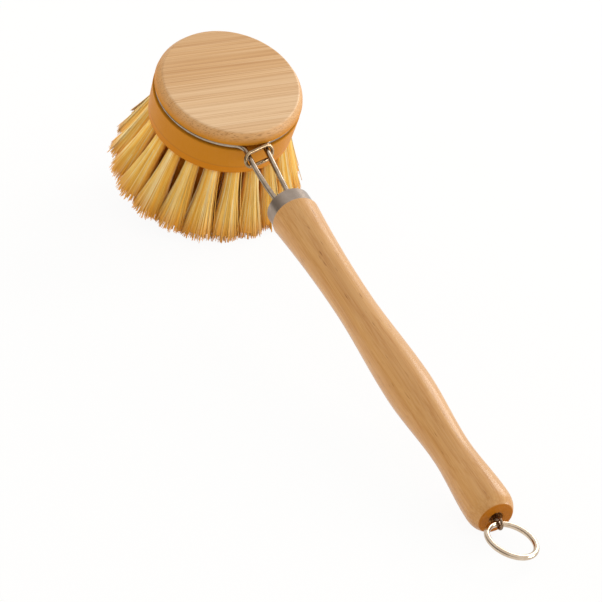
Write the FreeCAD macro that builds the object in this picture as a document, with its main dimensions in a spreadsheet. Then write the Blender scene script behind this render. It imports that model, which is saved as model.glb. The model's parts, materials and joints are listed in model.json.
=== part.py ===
import FreeCAD, Part
import math
import os

import Sketcher
from FreeCAD import Placement, Rotation, Vector

# Dish brush with a replaceable round head, lying on a table as it comes to rest:
# on the tips of its rear tufts and on the bulb at the tail of its handle.
# It is built in the head's frame: millimetres, +Z up along the head's axis, +X towards the handle,
# with the origin on the axis at the underside of the flange over the wire groove.
# At the end the whole brush is laid down: +Z is then up from the table, +X points to the tail,
# and the origin is the bottom centre of the box round the brush.

doc = FreeCAD.newDocument("dish_brush")

SIZES = [
    # Head block: bamboo, turned, with a groove round its edge
    ("head_diameter", 49.0, "across the rim"),
    ("flange_height", 4.2, "from the groove to the top face"),
    ("flange_draft", 0.4, "how far the wall of the flange leans in, from the groove to the bevel"),
    ("top_bevel_width", 1.6, "from the wall of the flange to the top face, across"),
    ("top_bevel_height", 2.2, "from the wall of the flange to the top face, up"),
    ("groove_depth", 2.5, "from the rim to the floor of the wire groove"),
    ("groove_clearance", 0.3, "between the wire and the groove, all round"),
    ("skirt_height", 11.2, "from the groove to the bottom face"),
    ("skirt_draft", 0.3, "how far the wall of the skirt leans in, from the groove to the bevel"),
    ("foot_bevel_width", 0.3, "from the wall of the skirt to the bottom face, across"),
    ("foot_bevel_height", 3.2, "from the wall of the skirt to the bottom face, down"),
    # Tufts: plant fibre, folded over a staple in a blind hole
    ("tuft_hole_diameter", 4.6, "drilled hole"),
    ("tuft_hole_depth", 7.0, "along the hole"),
    ("tuft_fit", 0.1, "between a tuft and its hole"),
    ("tuft_length", 26.6, "from the mouth of the hole to the tips"),
    ("tuft_collar", 1.0, "from the mouth to where the tuft starts to spread"),
    ("tuft_splay", 17.0, "lean of the outer row, in degrees"),
    ("tuft_gap", 0.6, "least gap between the tips of two tufts"),
    ("row_margin", 3.5, "from the rim to the middle of the outer row"),
    ("outer_count", 20, "tufts in the outer row"),
    ("middle_count", 14, "tufts in the middle row"),
    ("inner_count", 7, "tufts in the inner row"),
    ("staple_thickness", 0.4, "flat anchor wire"),
    ("staple_height", 1.6, "along the hole"),
    ("staple_bite", 0.4, "how far each end is driven into the wood"),
    ("staple_lift", 0.8, "above the floor of the hole"),
    ("staple_fit", 0.05, "between a staple and its tuft"),
    # Head wire: spring steel, a loop in the groove and two legs
    ("wire_diameter", 1.7, "spring wire"),
    ("wire_fit", 0.05, "between the wire and its channels in the ferrule and the handle"),
    ("neck_gap", 6.8, "between the middles of the legs at the head"),
    ("neck_bend_radius", 3.5, "where the loop turns into a leg"),
    ("leg_length", 25.9, "from the neck bend to the ferrule, level"),
    ("leg_rise", 2.53, "from the neck bend to the ferrule, upwards"),
    ("socket_gap", 4.2, "between the middles of the legs at the ferrule"),
    ("socket_bend_radius", 12.0, "where a leg turns straight into the handle"),
    ("leg_depth", 22.0, "straight stretch inside the handle"),
    # Lock ring: an oval link of thinner wire round both legs
    ("lock_wire_diameter", 1.2, "wire of the link"),
    ("lock_clearance", 0.45, "beside each leg"),
    ("lock_height", 3.4, "opening, along the link"),
    ("lock_lean", 35.0, "how far the link leans over towards the head, in degrees"),
    ("lock_skew", 18.0, "how far the link is turned aside across the legs, in degrees"),
    ("lock_place", 2.3, "from the neck bend to the middle of the link"),
    # Ferrule: a drawn steel cap
    ("ferrule_diameter", 14.5, "outside"),
    ("ferrule_length", 5.8, "from its front face to the wooden shoulder"),
    ("ferrule_wall", 0.8, "sheet thickness"),
    ("ferrule_bevel", 0.5, "at the front edge"),
    ("ferrule_fit", 0.05, "between the ferrule and the spigot of the handle"),
    # Handle: turned wood, each run reaching from one turned diameter to the next
    ("shoulder_diameter", 15.5, "behind the ferrule"),
    ("shoulder_round", 0.6, "edge of the shoulder"),
    ("shoulder_slant", 4.6, "slant of the wood behind the shoulder, in degrees"),
    ("waist_run", 43.2, "from the shoulder to the waist"),
    ("waist_diameter", 11.8, "first waist"),
    ("swell_run", 38.0, "from the waist to the swell"),
    ("swell_diameter", 14.3, "grip in the palm"),
    ("wrist_run", 28.0, "from the swell to the second waist"),
    ("wrist_diameter", 11.4, "second waist"),
    ("bulb_run", 21.5, "from the second waist to the bulb"),
    ("bulb_diameter", 13.8, "tail bulb"),
    ("end_run", 5.5, "from the bulb to the end face"),
    ("end_diameter", 10.4, "flat end face"),
    ("end_slant", 40.0, "slant of the wood where it meets the end face, in degrees"),
    # Screw eye and hang ring
    ("eye_wire_diameter", 0.8, "wire of the eye"),
    ("eye_clearance", 0.3, "between the ring's wire and the eye, all round"),
    ("eye_standoff", 2.0, "from the end face to the middle of the eye"),
    ("eye_shank_length", 11.0, "straight shank, from the eye's loop"),
    ("eye_tip_length", 2.0, "pointed end of the shank"),
    ("eye_shank_diameter", 1.6, "shank"),
    ("eye_fit", 0.05, "between the shank and its pilot hole"),
    ("recess_depth", 2.6, "drilled recess in the end face"),
    ("recess_clearance", 0.15, "between the eye and the wall of the recess"),
    ("ring_diameter", 16.0, "hang ring, outside"),
    ("ring_wire_diameter", 1.7, "wire of the hang ring"),
    ("ring_sag", 0.1, "how low the ring's wire hangs below the middle of the eye"),
    ("ring_lift", 3.9, "lift of the ring over the line of the handle, in degrees"),
    ("ring_roll", 12.2, "sideways tip of the ring, in degrees"),
]

sheet = doc.addObject("Spreadsheet::Sheet", "Sizes")
for line, (alias, value, meaning) in enumerate(SIZES, start=1):
    sheet.set(f"A{line}", meaning)
    sheet.set(f"B{line}", str(value))
    sheet.setAlias(f"B{line}", alias)
doc.recompute()


def size(alias):
    """The value of one cell of the sheet."""
    return float(sheet.get(alias))


def bind(thing, **sizes):
    """Ties properties of an object to expressions over the sheet's aliases."""
    for name, expression in sizes.items():
        thing.setExpression(name, expression)
    return thing


def solid(kind, name, place, **sizes):
    """A primitive or boolean of the document, placed and tied to the sheet."""
    thing = doc.addObject(f"Part::{kind}", name)
    thing.Placement = place
    return bind(thing, **sizes)


def fuse(name, pieces):
    joined = doc.addObject("Part::MultiFuse", name)
    joined.Shapes = pieces
    return joined


def cut(name, base, tool):
    left = doc.addObject("Part::Cut", name)
    left.Base = base
    left.Tool = tool
    return left


def shift(x=0.0, y=0.0, z=0.0):
    return Placement(Vector(x, y, z), Rotation())


def turn(axis, degrees):
    return Placement(Vector(), Rotation(axis, degrees))


X_AXIS = Vector(1, 0, 0)
Y_AXIS = Vector(0, 1, 0)
Z_AXIS = Vector(0, 0, 1)


def turned_body(name, outline):
    """A body turned about Z from a closed outline of (radius, height) expressions."""
    body = doc.addObject("PartDesign::Body", name)
    sketch = body.newObject("Sketcher::SketchObject", f"{name}_outline")
    plane = next(item for item in body.Origin.OriginFeatures if item.Role == "XZ_Plane")
    sketch.AttachmentSupport = (plane, [""])
    sketch.MapMode = "FlatFace"
    corners = [Vector(*(float(sheet.evalExpression(term)) for term in point), 0) for point in outline]
    count = len(corners)
    for index in range(count):
        sketch.addGeometry(Part.LineSegment(corners[index], corners[(index + 1) % count]), False)
    for index in range(count):
        sketch.addConstraint(Sketcher.Constraint("Coincident", index, 2, (index + 1) % count, 1))
    for index, point in enumerate(outline):
        for axis, line, term in (("X", -2, point[0]), ("Y", -1, point[1])):
            if term == "0":
                sketch.addConstraint(Sketcher.Constraint("PointOnObject", index, 1, line))
                continue
            reach = float(sheet.evalExpression(term))
            number = sketch.addConstraint(
                Sketcher.Constraint(f"Distance{axis}", -1, 1, index, 1, reach)
            )
            sketch.renameConstraint(number, f"{axis.lower()}_of_corner_{index}")
            sketch.setExpression(f"Constraints.{axis.lower()}_of_corner_{index}", term)
    turning = body.newObject("PartDesign::Revolution", f"{name}_turning")
    turning.Profile = sketch
    turning.ReferenceAxis = (sketch, ["V_Axis"])
    turning.Angle = 360
    sketch.Visibility = False
    return body


# Head block
HEAD_RADIUS = "Sizes.head_diameter / 2"
GROOVE_HEIGHT = "(Sizes.wire_diameter + 2 * Sizes.groove_clearance)"
GROOVE_RADIUS = "Sizes.head_diameter / 2 - Sizes.groove_depth"
BOTTOM = f"-{GROOVE_HEIGHT} - Sizes.skirt_height"

head_blank = turned_body(
    "head_blank",
    [
        ("0", "Sizes.flange_height"),
        (f"{HEAD_RADIUS} - Sizes.flange_draft - Sizes.top_bevel_width", "Sizes.flange_height"),
        (f"{HEAD_RADIUS} - Sizes.flange_draft", "Sizes.flange_height - Sizes.top_bevel_height"),
        (HEAD_RADIUS, "0"),
        (GROOVE_RADIUS, "0"),
        (GROOVE_RADIUS, f"-{GROOVE_HEIGHT}"),
        (HEAD_RADIUS, f"-{GROOVE_HEIGHT}"),
        (f"{HEAD_RADIUS} - Sizes.skirt_draft", f"{BOTTOM} + Sizes.foot_bevel_height"),
        (f"{HEAD_RADIUS} - Sizes.skirt_draft - Sizes.foot_bevel_width", BOTTOM),
        ("0", BOTTOM),
    ],
)

# Tufts, in rows that lean out evenly from the middle of the head
head_radius = size("head_diameter") / 2
groove_height = size("wire_diameter") + 2 * size("groove_clearance")
bottom_level = -groove_height - size("skirt_height")
outer_row_radius = head_radius - size("row_margin")

ROWS = [
    ("tuft_outer", 3, int(size("outer_count"))),
    ("tuft_middle", 2, int(size("middle_count"))),
    ("tuft_inner", 1, int(size("inner_count"))),
    ("tuft_centre", 0, 1),
]
RINGS = len(ROWS) - 1


def row_radius(ring):
    return outer_row_radius * ring / RINGS


def row_lean(ring):
    return size("tuft_splay") * ring / RINGS


def row_tip_radius(ring):
    return row_radius(ring) + size("tuft_length") * math.sin(math.radians(row_lean(ring)))


# The tips spread as wide as the closest two tufts allow
tip_spacings = [
    2 * row_tip_radius(ring) * math.sin(math.pi / count) for name, ring, count in ROWS if ring
]
tip_spacings += [row_tip_radius(ring + 1) - row_tip_radius(ring) for ring in range(RINGS)]
tuft_tip_radius = (min(tip_spacings) - size("tuft_gap")) / 2


def tuft_place(ring, count, index):
    """The mouth of a tuft's hole, with local Z along the tuft, away from the head."""
    bearing = 360.0 / count * (index + 0.5)
    mouth = shift(row_radius(ring), 0, bottom_level)
    return turn(Z_AXIS, bearing) * mouth * turn(Y_AXIS, 180 - row_lean(ring))


TUFT_RADIUS = "Sizes.tuft_hole_diameter / 2 - Sizes.tuft_fit"
STAPLE_LENGTH = "Sizes.tuft_hole_diameter + 2 * Sizes.staple_bite"
staple_length = size("tuft_hole_diameter") + 2 * size("staple_bite")
staple_floor = size("staple_lift") - size("tuft_hole_depth")

tufts = []
holes = []
staples = []
for row_name, ring, count in ROWS:
    for index in range(count):
        name = f"{row_name}_{index + 1:02d}" if ring else row_name
        place = tuft_place(ring, count, index)
        floor = place * shift(z=-size("tuft_hole_depth"))
        holes.append(
            solid(
                "Cylinder",
                f"{name}_hole",
                floor,
                Radius="Sizes.tuft_hole_diameter / 2",
                Height="Sizes.tuft_hole_depth + Sizes.tuft_hole_diameter / 2",
            )
        )
        staples.append(
            solid(
                "Box",
                f"{name}_staple",
                place * shift(-staple_length / 2, -size("staple_thickness") / 2, staple_floor),
                Length=STAPLE_LENGTH,
                Width="Sizes.staple_thickness",
                Height="Sizes.staple_height",
            )
        )
        slot_reach = size("staple_fit")
        slot = solid(
            "Box",
            f"{name}_slot",
            place
            * shift(
                -staple_length / 2,
                -size("staple_thickness") / 2 - slot_reach,
                staple_floor - slot_reach,
            ),
            Length=STAPLE_LENGTH,
            Width="Sizes.staple_thickness + 2 * Sizes.staple_fit",
            Height="Sizes.staple_height + 2 * Sizes.staple_fit",
        )
        root = solid(
            "Cylinder",
            f"{name}_root",
            floor,
            Radius=TUFT_RADIUS,
            Height="Sizes.tuft_hole_depth + Sizes.tuft_collar",
        )
        spread = solid(
            "Cone",
            f"{name}_spread",
            place * shift(z=size("tuft_collar")),
            Radius1=TUFT_RADIUS,
            Height="Sizes.tuft_length - Sizes.tuft_collar",
        )
        spread.Radius2 = tuft_tip_radius
        bundle = fuse(f"{name}_bundle", [root, spread])
        tufts.append((name, cut(f"{name}_folded", bundle, slot)))

drill = doc.addObject("Part::Compound", "tuft_holes")
drill.Links = holes
head_block = cut("head_drilled", head_blank, drill)

tuft_staples = doc.addObject("Part::Compound", "staple_set")
tuft_staples.Links = staples

# Head wire: the path of its middle line, from one end in the handle round the head to the other
wire_radius = size("wire_diameter") / 2
wire_level = -groove_height / 2
loop_radius = head_radius - size("groove_depth") + size("groove_clearance") + wire_radius
neck_half = size("neck_gap") / 2
socket_half = size("socket_gap") / 2
bend = size("neck_bend_radius")

bend_centre = Vector(
    math.sqrt((loop_radius + bend) ** 2 - (neck_half + bend) ** 2), neck_half + bend, wire_level
)
neck = Vector(bend_centre.x, neck_half, wire_level)
loop_bearing = math.atan2(bend_centre.y, bend_centre.x)

# Each leg is one arc: level at the neck, and rising and closing in towards the ferrule
leg_inward = neck_half - socket_half
leg_side = math.hypot(leg_inward, size("leg_rise"))
leg_turn = 2 * math.atan2(leg_side, size("leg_length"))
leg_radius = size("leg_length") / math.sin(leg_turn)
leg_bow = Vector(0, -leg_inward, size("leg_rise")) / leg_side
leg_end_heading = X_AXIS * math.cos(leg_turn) + leg_bow * math.sin(leg_turn)

handle_pitch = math.atan2(leg_end_heading.z, leg_end_heading.x)
handle_axis = Vector(math.cos(handle_pitch), 0, math.sin(handle_pitch))
ferrule_front = Vector(neck.x + size("leg_length"), 0, wire_level + size("leg_rise"))

socket_turn = math.asin(-leg_end_heading.y)
socket_bend = size("socket_bend_radius")


def on_loop(bearing):
    return Vector(loop_radius * math.cos(bearing), loop_radius * math.sin(bearing), wire_level)


def on_leg(angle):
    """A point of the leg's arc, by the angle turned since the neck."""
    return neck + X_AXIS * leg_radius * math.sin(angle) + leg_bow * leg_radius * (1 - math.cos(angle))


def on_socket_bend(angle):
    """A point of the short bend inside the ferrule, by the angle still to turn."""
    along = math.sin(socket_turn) - math.sin(angle)
    aside = math.cos(angle) - math.cos(socket_turn)
    return on_leg(leg_turn) + handle_axis * socket_bend * along - Y_AXIS * socket_bend * aside


def on_neck_bend(share):
    """A point of the neck bend, from 0 at the loop to 1 at the leg."""
    start = loop_bearing + math.pi
    angle = start + (1.5 * math.pi - start) * share
    return bend_centre + Vector(math.cos(angle), math.sin(angle), 0) * bend


def mirrored(point):
    return Vector(point.x, -point.y, point.z)


straight_end = on_socket_bend(0)
wire_end = straight_end + handle_axis * size("leg_depth")
half_path = [
    (wire_end, straight_end),
    (straight_end, on_socket_bend(socket_turn / 2), on_leg(leg_turn)),
    (on_leg(leg_turn), on_leg(leg_turn / 2), neck),
    (neck, on_neck_bend(0.5), on_loop(loop_bearing)),
    (on_loop(loop_bearing), on_loop((loop_bearing + math.pi) / 2), on_loop(math.pi)),
]
other_half = [tuple(mirrored(point) for point in reversed(span)) for span in reversed(half_path)]


def path_edge(points):
    """A straight run through two points, or an arc through three."""
    curve = Part.LineSegment(*points) if len(points) == 2 else Part.Arc(*points)
    return curve.toShape()


wire_path = doc.addObject("Part::Feature", "wire_path")
wire_path.Shape = Part.Wire([path_edge(span) for span in half_path + other_half])


def along(point, direction):
    """A placement at a point with local Z along a direction."""
    return Placement(point, Rotation(Z_AXIS, direction))


def wire_sweep(name, radius):
    """A round bar along the path of the head wire."""
    section = solid("Circle", f"{name}_section", along(wire_end, handle_axis), Radius=radius)
    sweep = doc.addObject("Part::Sweep", name)
    sweep.Sections = [section]
    sweep.Spine = (wire_path, [f"Edge{number + 1}" for number in range(len(wire_path.Shape.Edges))])
    sweep.Solid = True
    sweep.Frenet = False
    return sweep


head_wire = wire_sweep("wire_bar", "Sizes.wire_diameter / 2")
wire_channel = wire_sweep("wire_channel", "Sizes.wire_diameter / 2 + Sizes.wire_fit")

# Lock ring: two straight bars and two half rings, leaning over the legs and a little askew
LOCK_BEND = "(Sizes.lock_height + Sizes.lock_wire_diameter) / 2"
LOCK_BAR = (
    "(Sizes.neck_gap + Sizes.wire_diameter + 2 * Sizes.lock_clearance)"
    " / cos(Sizes.lock_skew * 1 deg) - Sizes.lock_height"
)
lock_bend = (size("lock_height") + size("lock_wire_diameter")) / 2
lock_bar = float(sheet.evalExpression(LOCK_BAR))

lock_angle = math.asin(size("lock_place") / leg_radius)
lock_centre = Vector(neck.x + size("lock_place"), 0, on_leg(lock_angle).z)
lock_turn = Rotation(Z_AXIS, size("lock_skew")) * Rotation(Y_AXIS, 90 - size("lock_lean"))
lock_place = Placement(lock_centre, lock_turn)

lock_pieces = []
for side, name in ((1, "left"), (-1, "right")):
    lock_pieces.append(
        solid(
            "Cylinder",
            f"lock_bar_{name}",
            lock_place * shift(side * lock_bend, -lock_bar / 2) * turn(X_AXIS, -90),
            Radius="Sizes.lock_wire_diameter / 2",
            Height=LOCK_BAR,
        )
    )
    half_ring = solid(
        "Torus",
        f"lock_end_{name}",
        lock_place * shift(y=side * lock_bar / 2) * turn(Z_AXIS, 90 * (1 - side)),
        Radius1=LOCK_BEND,
        Radius2="Sizes.lock_wire_diameter / 2",
    )
    half_ring.Angle3 = 180
    lock_pieces.append(half_ring)
lock_ring = fuse("lock_link", lock_pieces)

# Ferrule and handle: local Z runs along the handle from the front of the ferrule to the tail
handle_place = Placement(ferrule_front, Rotation(Y_AXIS, 90 - math.degrees(handle_pitch)))
FERRULE_RADIUS = "Sizes.ferrule_diameter / 2"
FERRULE_BORE = "Sizes.ferrule_diameter / 2 - Sizes.ferrule_wall"

ferrule_cap = turned_body(
    "ferrule_cap",
    [
        ("0", "0"),
        (f"{FERRULE_RADIUS} - Sizes.ferrule_bevel", "0"),
        (FERRULE_RADIUS, "Sizes.ferrule_bevel"),
        (FERRULE_RADIUS, "Sizes.ferrule_length"),
        (FERRULE_BORE, "Sizes.ferrule_length"),
        (FERRULE_BORE, "Sizes.ferrule_wall"),
        ("0", "Sizes.ferrule_wall"),
    ],
)
ferrule_cap.Placement = handle_place
ferrule = cut("ferrule_pierced", ferrule_cap, wire_channel)

# The turned diameters of the handle, each at its distance behind the one before,
# with the slant that the outline has there: level at the waists, the swell and the bulb
TURNED = [
    ("waist", size("waist_diameter"), size("waist_run"), 0.0),
    ("swell", size("swell_diameter"), size("swell_run"), 0.0),
    ("wrist", size("wrist_diameter"), size("wrist_run"), 0.0),
    ("bulb", size("bulb_diameter"), size("bulb_run"), 0.0),
    ("end", size("end_diameter"), size("end_run"), size("end_slant")),
]


def turned_point(diameter, station):
    """A point of the handle's outline, in the plane through its axis."""
    return Vector(diameter / 2, 0, station)


def inward(slant):
    """The heading of the outline where it closes in by a slant in degrees."""
    return Z_AXIS - X_AXIS * math.tan(math.radians(slant))


def turned_span(start, start_slant, finish, finish_slant):
    """One cubic curve of the outline between two turned diameters."""
    third = (finish.z - start.z) / 3
    span = Part.BezierCurve()
    span.setPoles(
        [start, start + inward(start_slant) * third, finish - inward(finish_slant) * third, finish]
    )
    return span.toShape()


stations = {"shoulder": size("ferrule_length")}
shoulder_point = turned_point(size("shoulder_diameter"), stations["shoulder"])
shoulder_round = size("shoulder_round")
round_start = shoulder_point - X_AXIS * shoulder_round
round_end = shoulder_point + Z_AXIS * shoulder_round
round_middle = shoulder_point + (Z_AXIS - X_AXIS) * shoulder_round * (1 - math.sqrt(0.5))

grip_spans = []
station = stations["shoulder"]
last_point = round_end
last_slant = size("shoulder_slant")
for name, diameter, run, slant in TURNED:
    station += run
    stations[name] = station
    point = turned_point(diameter, station)
    grip_spans.append(turned_span(last_point, last_slant, point, slant))
    last_point = point
    last_slant = slant

spigot_radius = size("ferrule_diameter") / 2 - size("ferrule_wall") - size("ferrule_fit")
spigot_front = Vector(spigot_radius, 0, size("ferrule_wall"))
spigot_back = Vector(spigot_radius, 0, stations["shoulder"])
axis_front = Z_AXIS * size("ferrule_wall")
axis_back = Z_AXIS * stations["end"]
outline_edges = [
    path_edge((axis_front, spigot_front)),
    path_edge((spigot_front, spigot_back)),
    path_edge((spigot_back, round_start)),
    path_edge((round_start, round_middle, round_end)),
    *grip_spans,
    path_edge((last_point, axis_back)),
    path_edge((axis_back, axis_front)),
]
handle_outline = doc.addObject("Part::Feature", "handle_outline")
handle_outline.Shape = Part.Face(Part.Wire(outline_edges))
handle_outline.Placement = handle_place

turned_handle = doc.addObject("Part::Revolution", "turned_handle")
turned_handle.Source = handle_outline
turned_handle.Base = ferrule_front
turned_handle.Axis = handle_axis
turned_handle.Angle = 360
turned_handle.Solid = True

# Screw eye in the drilled tail, with the loop of the eye upright
EYE_RADIUS = "(Sizes.ring_wire_diameter + Sizes.eye_wire_diameter) / 2 + Sizes.eye_clearance"
eye_radius = float(sheet.evalExpression(EYE_RADIUS))
eye_place = handle_place * shift(z=stations["end"] + size("eye_standoff"))
shank_start = eye_place * shift(z=-eye_radius) * turn(X_AXIS, 180)
shank_end = shank_start * shift(z=size("eye_shank_length"))

eye_loop = solid(
    "Torus",
    "eye_loop",
    eye_place * turn(X_AXIS, 90),
    Radius1=EYE_RADIUS,
    Radius2="Sizes.eye_wire_diameter / 2",
)
eye_shank = solid(
    "Cylinder",
    "eye_shank",
    shank_start,
    Radius="Sizes.eye_shank_diameter / 2",
    Height="Sizes.eye_shank_length",
)
eye_tip = solid(
    "Cone",
    "eye_tip",
    shank_end,
    Radius1="Sizes.eye_shank_diameter / 2",
    Height="Sizes.eye_tip_length",
)
eye_tip.Radius2 = 0
screw_eye = fuse("eye_with_shank", [eye_loop, eye_shank, eye_tip])

recess = solid(
    "Cylinder",
    "tail_recess",
    handle_place * shift(z=stations["end"] - size("recess_depth")),
    Radius=f"{EYE_RADIUS} + Sizes.eye_wire_diameter / 2 + Sizes.recess_clearance",
    Height="2 * Sizes.recess_depth",
)
pilot = solid(
    "Cylinder",
    "eye_pilot",
    shank_start,
    Radius="Sizes.eye_shank_diameter / 2 + Sizes.eye_fit",
    Height="Sizes.eye_shank_length + Sizes.eye_tip_length",
)
handle_drill = fuse("handle_drill", [recess, pilot, wire_channel])
handle = cut("handle_drilled", turned_handle, handle_drill)

# Hang ring: its wire hangs in the lower half of the eye, and the ring lies out behind the tail
RING_RADIUS = "(Sizes.ring_diameter - Sizes.ring_wire_diameter) / 2"
ring_radius = float(sheet.evalExpression(RING_RADIUS))
ring_slope = math.degrees(handle_pitch) + size("ring_lift")
ring_seat = (eye_place * shift(x=size("ring_sag"))).Base
ring_place = Placement(ring_seat, Rotation(Y_AXIS, -ring_slope)) * turn(X_AXIS, -size("ring_roll"))
hang_ring = solid(
    "Torus",
    "ring",
    ring_place * shift(x=ring_radius),
    Radius1=RING_RADIUS,
    Radius2="Sizes.ring_wire_diameter / 2",
)

# Every separate piece, under the name that a person would use
PIECES = [
    ("handle", handle),
    ("ferrule", ferrule),
    ("head_wire", head_wire),
    ("lock_ring", lock_ring),
    ("head_block", head_block),
    ("tuft_staples", tuft_staples),
    ("screw_eye", screw_eye),
    ("hang_ring", hang_ring),
] + tufts
for name, piece in PIECES:
    piece.Label = name
doc.recompute()

# The brush lies on the lowest edge of its two rear tufts and on the tail bulb
rear_bearing = math.pi / ROWS[0][2]
outer_lean = math.radians(row_lean(RINGS))
tip_reach = row_tip_radius(RINGS) + tuft_tip_radius * math.cos(outer_lean)
tip_level = (
    bottom_level
    - size("tuft_length") * math.cos(outer_lean)
    + tuft_tip_radius * math.sin(outer_lean)
)
bulb_centre = ferrule_front + handle_axis * stations["bulb"]
to_bulb = bulb_centre - Vector(tip_reach * math.cos(rear_bearing), 0, tip_level)
rest_tilt = math.degrees(
    math.atan2(to_bulb.z, to_bulb.x) - math.asin(size("bulb_diameter") / 2 / to_bulb.Length)
)


def lay(rest):
    """Moves every piece from the head's frame to the given place."""
    for name, piece in PIECES:
        piece.Placement = rest * upright[name]
    doc.recompute()


upright = {name: piece.Placement for name, piece in PIECES}
tilted = turn(Y_AXIS, rest_tilt)
lay(tilted)
box = Part.makeCompound([piece.Shape for name, piece in PIECES]).optimalBoundingBox(False)
rest = shift(-(box.XMin + box.XMax) / 2, -(box.YMin + box.YMax) / 2, -box.ZMin) * tilted
lay(rest)

# Nothing is written unless the whole document is sound
for thing in doc.Objects:
    if "Invalid" in thing.State or "Error" in thing.State:
        raise RuntimeError(f"{thing.Label} failed: {thing.State}")
for name, piece in PIECES:
    if piece.Shape.isNull() or not piece.Shape.isValid():
        raise RuntimeError(f"{name} has no valid shape")

os.makedirs("parts", exist_ok=True)
for name, piece in PIECES:
    piece.Shape.exportStep(f"parts/{name}.step")


def told(vector):
    return ", ".join(f"{number:.4f}" for number in vector)


def directed(direction):
    return rest.Rotation.multVec(direction)


# The places of the joints and mounts, in the finished frame
print("size", told((box.XLength, box.YLength, box.ZLength)))
print("rest tilt", round(rest_tilt, 3), "handle pitch", round(math.degrees(handle_pitch), 3))
print("head centre", told(rest.multVec(Vector())), "axis", told(directed(Z_AXIS)))
print("head top", told(rest.multVec(Vector(0, 0, size("flange_height")))))
print("lock centre", told(rest.multVec(lock_centre)))
print("ferrule front", told(rest.multVec(ferrule_front)), "axis", told(directed(handle_axis)))
print("ring seat", told(rest.multVec(ring_seat)))
print("ring axis", told(directed(ring_place.Rotation.multVec(Y_AXIS))))
print("ring centre", told(rest.multVec((ring_place * shift(x=ring_radius)).Base)))
print("ring normal", told(directed(ring_place.Rotation.multVec(Z_AXIS))))
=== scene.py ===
import json
import math
import random

import bmesh
import bpy
from mathutils import Matrix, Quaternion, Vector


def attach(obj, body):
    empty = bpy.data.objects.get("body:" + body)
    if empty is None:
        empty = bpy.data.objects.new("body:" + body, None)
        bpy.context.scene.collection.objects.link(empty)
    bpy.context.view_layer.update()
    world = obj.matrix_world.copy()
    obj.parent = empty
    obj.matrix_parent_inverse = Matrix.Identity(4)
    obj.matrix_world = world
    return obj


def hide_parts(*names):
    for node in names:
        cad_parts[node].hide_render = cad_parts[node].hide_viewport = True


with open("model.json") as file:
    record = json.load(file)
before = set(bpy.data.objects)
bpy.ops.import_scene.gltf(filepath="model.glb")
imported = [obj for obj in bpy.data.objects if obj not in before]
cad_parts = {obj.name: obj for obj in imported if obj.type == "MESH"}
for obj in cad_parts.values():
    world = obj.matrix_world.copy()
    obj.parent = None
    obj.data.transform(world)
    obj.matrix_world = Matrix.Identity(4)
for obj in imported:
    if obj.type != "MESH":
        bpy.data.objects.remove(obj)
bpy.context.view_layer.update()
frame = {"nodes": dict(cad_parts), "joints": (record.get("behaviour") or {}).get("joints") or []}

# Handle. One stick of pale close-grained hardwood, turned to two waists, a swell and a tail bulb,
# sanded along the grain and dipped in clear varnish. Its end face is drilled for the screw eye,
# and a spigot at its front is hidden in the ferrule.
MM = 0.001
HANDLE_FRONT = Vector((-32.404, 0.0, 29.805))
HANDLE_TILT = math.radians(99.610)
HANDLE_SIDES = 96
SPIGOT_RADIUS = 6.4
SPIGOT_FRONT = 0.8
SPIGOT_EASE = 0.3
SHOULDER_STATION = 5.8
SHOULDER_EASE = 0.6
# Turned diameters: station from the front of the ferrule, radius, and how steeply the outline runs there
TURNED_STATIONS = (
    (SHOULDER_STATION, 7.75, -math.tan(math.radians(4.6))),
    (49.0, 5.9, 0.0),
    (87.0, 7.15, 0.0),
    (115.0, 5.7, 0.0),
    (136.5, 6.9, 0.0),
    (142.0, 5.2, -math.tan(math.radians(40.0))),
)
STATION_STEP = 1.8
LAST_STEPS = 9
END_EASE = 0.45
RECESS_RADIUS = 2.1
RECESS_DEPTH = 2.6
RECESS_EASE = 0.25
# A rounded corner: the most it takes of the run beside it, how far it holds that run flat, and its steps
CORNER_SHARE = 0.42
CORNER_HOLD = 1.15
CORNER_STEPS = 5


def laid(point, tilt):
    """From a turned piece's own frame, in mm with +Z along its axis, to its place in the scene."""
    return Matrix.Translation(point * MM) @ Matrix.Rotation(tilt, 4, "Y") @ Matrix.Scale(MM, 4)


def eased(corners):
    """Rounds the corners (radius, height, easing) of an outline, and holds the runs between them flat."""
    points = []
    for index, (radius, height, easing) in enumerate(corners):
        here = Vector((radius, height))
        if not easing:
            points.append(here)
            continue
        before = Vector(corners[index - 1][:2]) - here
        after = Vector(corners[index + 1][:2]) - here
        start = before.normalized() * min(easing, CORNER_SHARE * before.length)
        finish = after.normalized() * min(easing, CORNER_SHARE * after.length)
        points.append(here + start * CORNER_HOLD)
        for step in range(CORNER_STEPS + 1):
            along = step / CORNER_STEPS
            points.append(here + start * (1 - along) ** 2 + finish * along**2)
        points.append(here + finish * CORNER_HOLD)
    return points


def turned(name, outline, place, sides):
    """Spins an outline, which starts and ends on the axis, round +Z into one closed mesh."""
    form = bmesh.new()
    rings = []
    for radius, height in outline:
        if not radius:
            rings.append([form.verts.new((0, 0, height))] * sides)
            continue
        turns = (2 * math.pi * side / sides for side in range(sides))
        ring = ((radius * math.cos(turn), radius * math.sin(turn), height) for turn in turns)
        rings.append([form.verts.new(point) for point in ring])
    for lower, upper in zip(rings, rings[1:]):
        for side in range(sides):
            corners = (lower[side], lower[side - 1], upper[side - 1], upper[side])
            form.faces.new(dict.fromkeys(corners)).smooth = True
    form.transform(place)
    bmesh.ops.recalc_face_normals(form, faces=form.faces)
    mesh = bpy.data.meshes.new(name)
    form.to_mesh(mesh)
    form.free()
    piece = bpy.data.objects.new(name, mesh)
    bpy.context.collection.objects.link(piece)
    return piece


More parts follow.
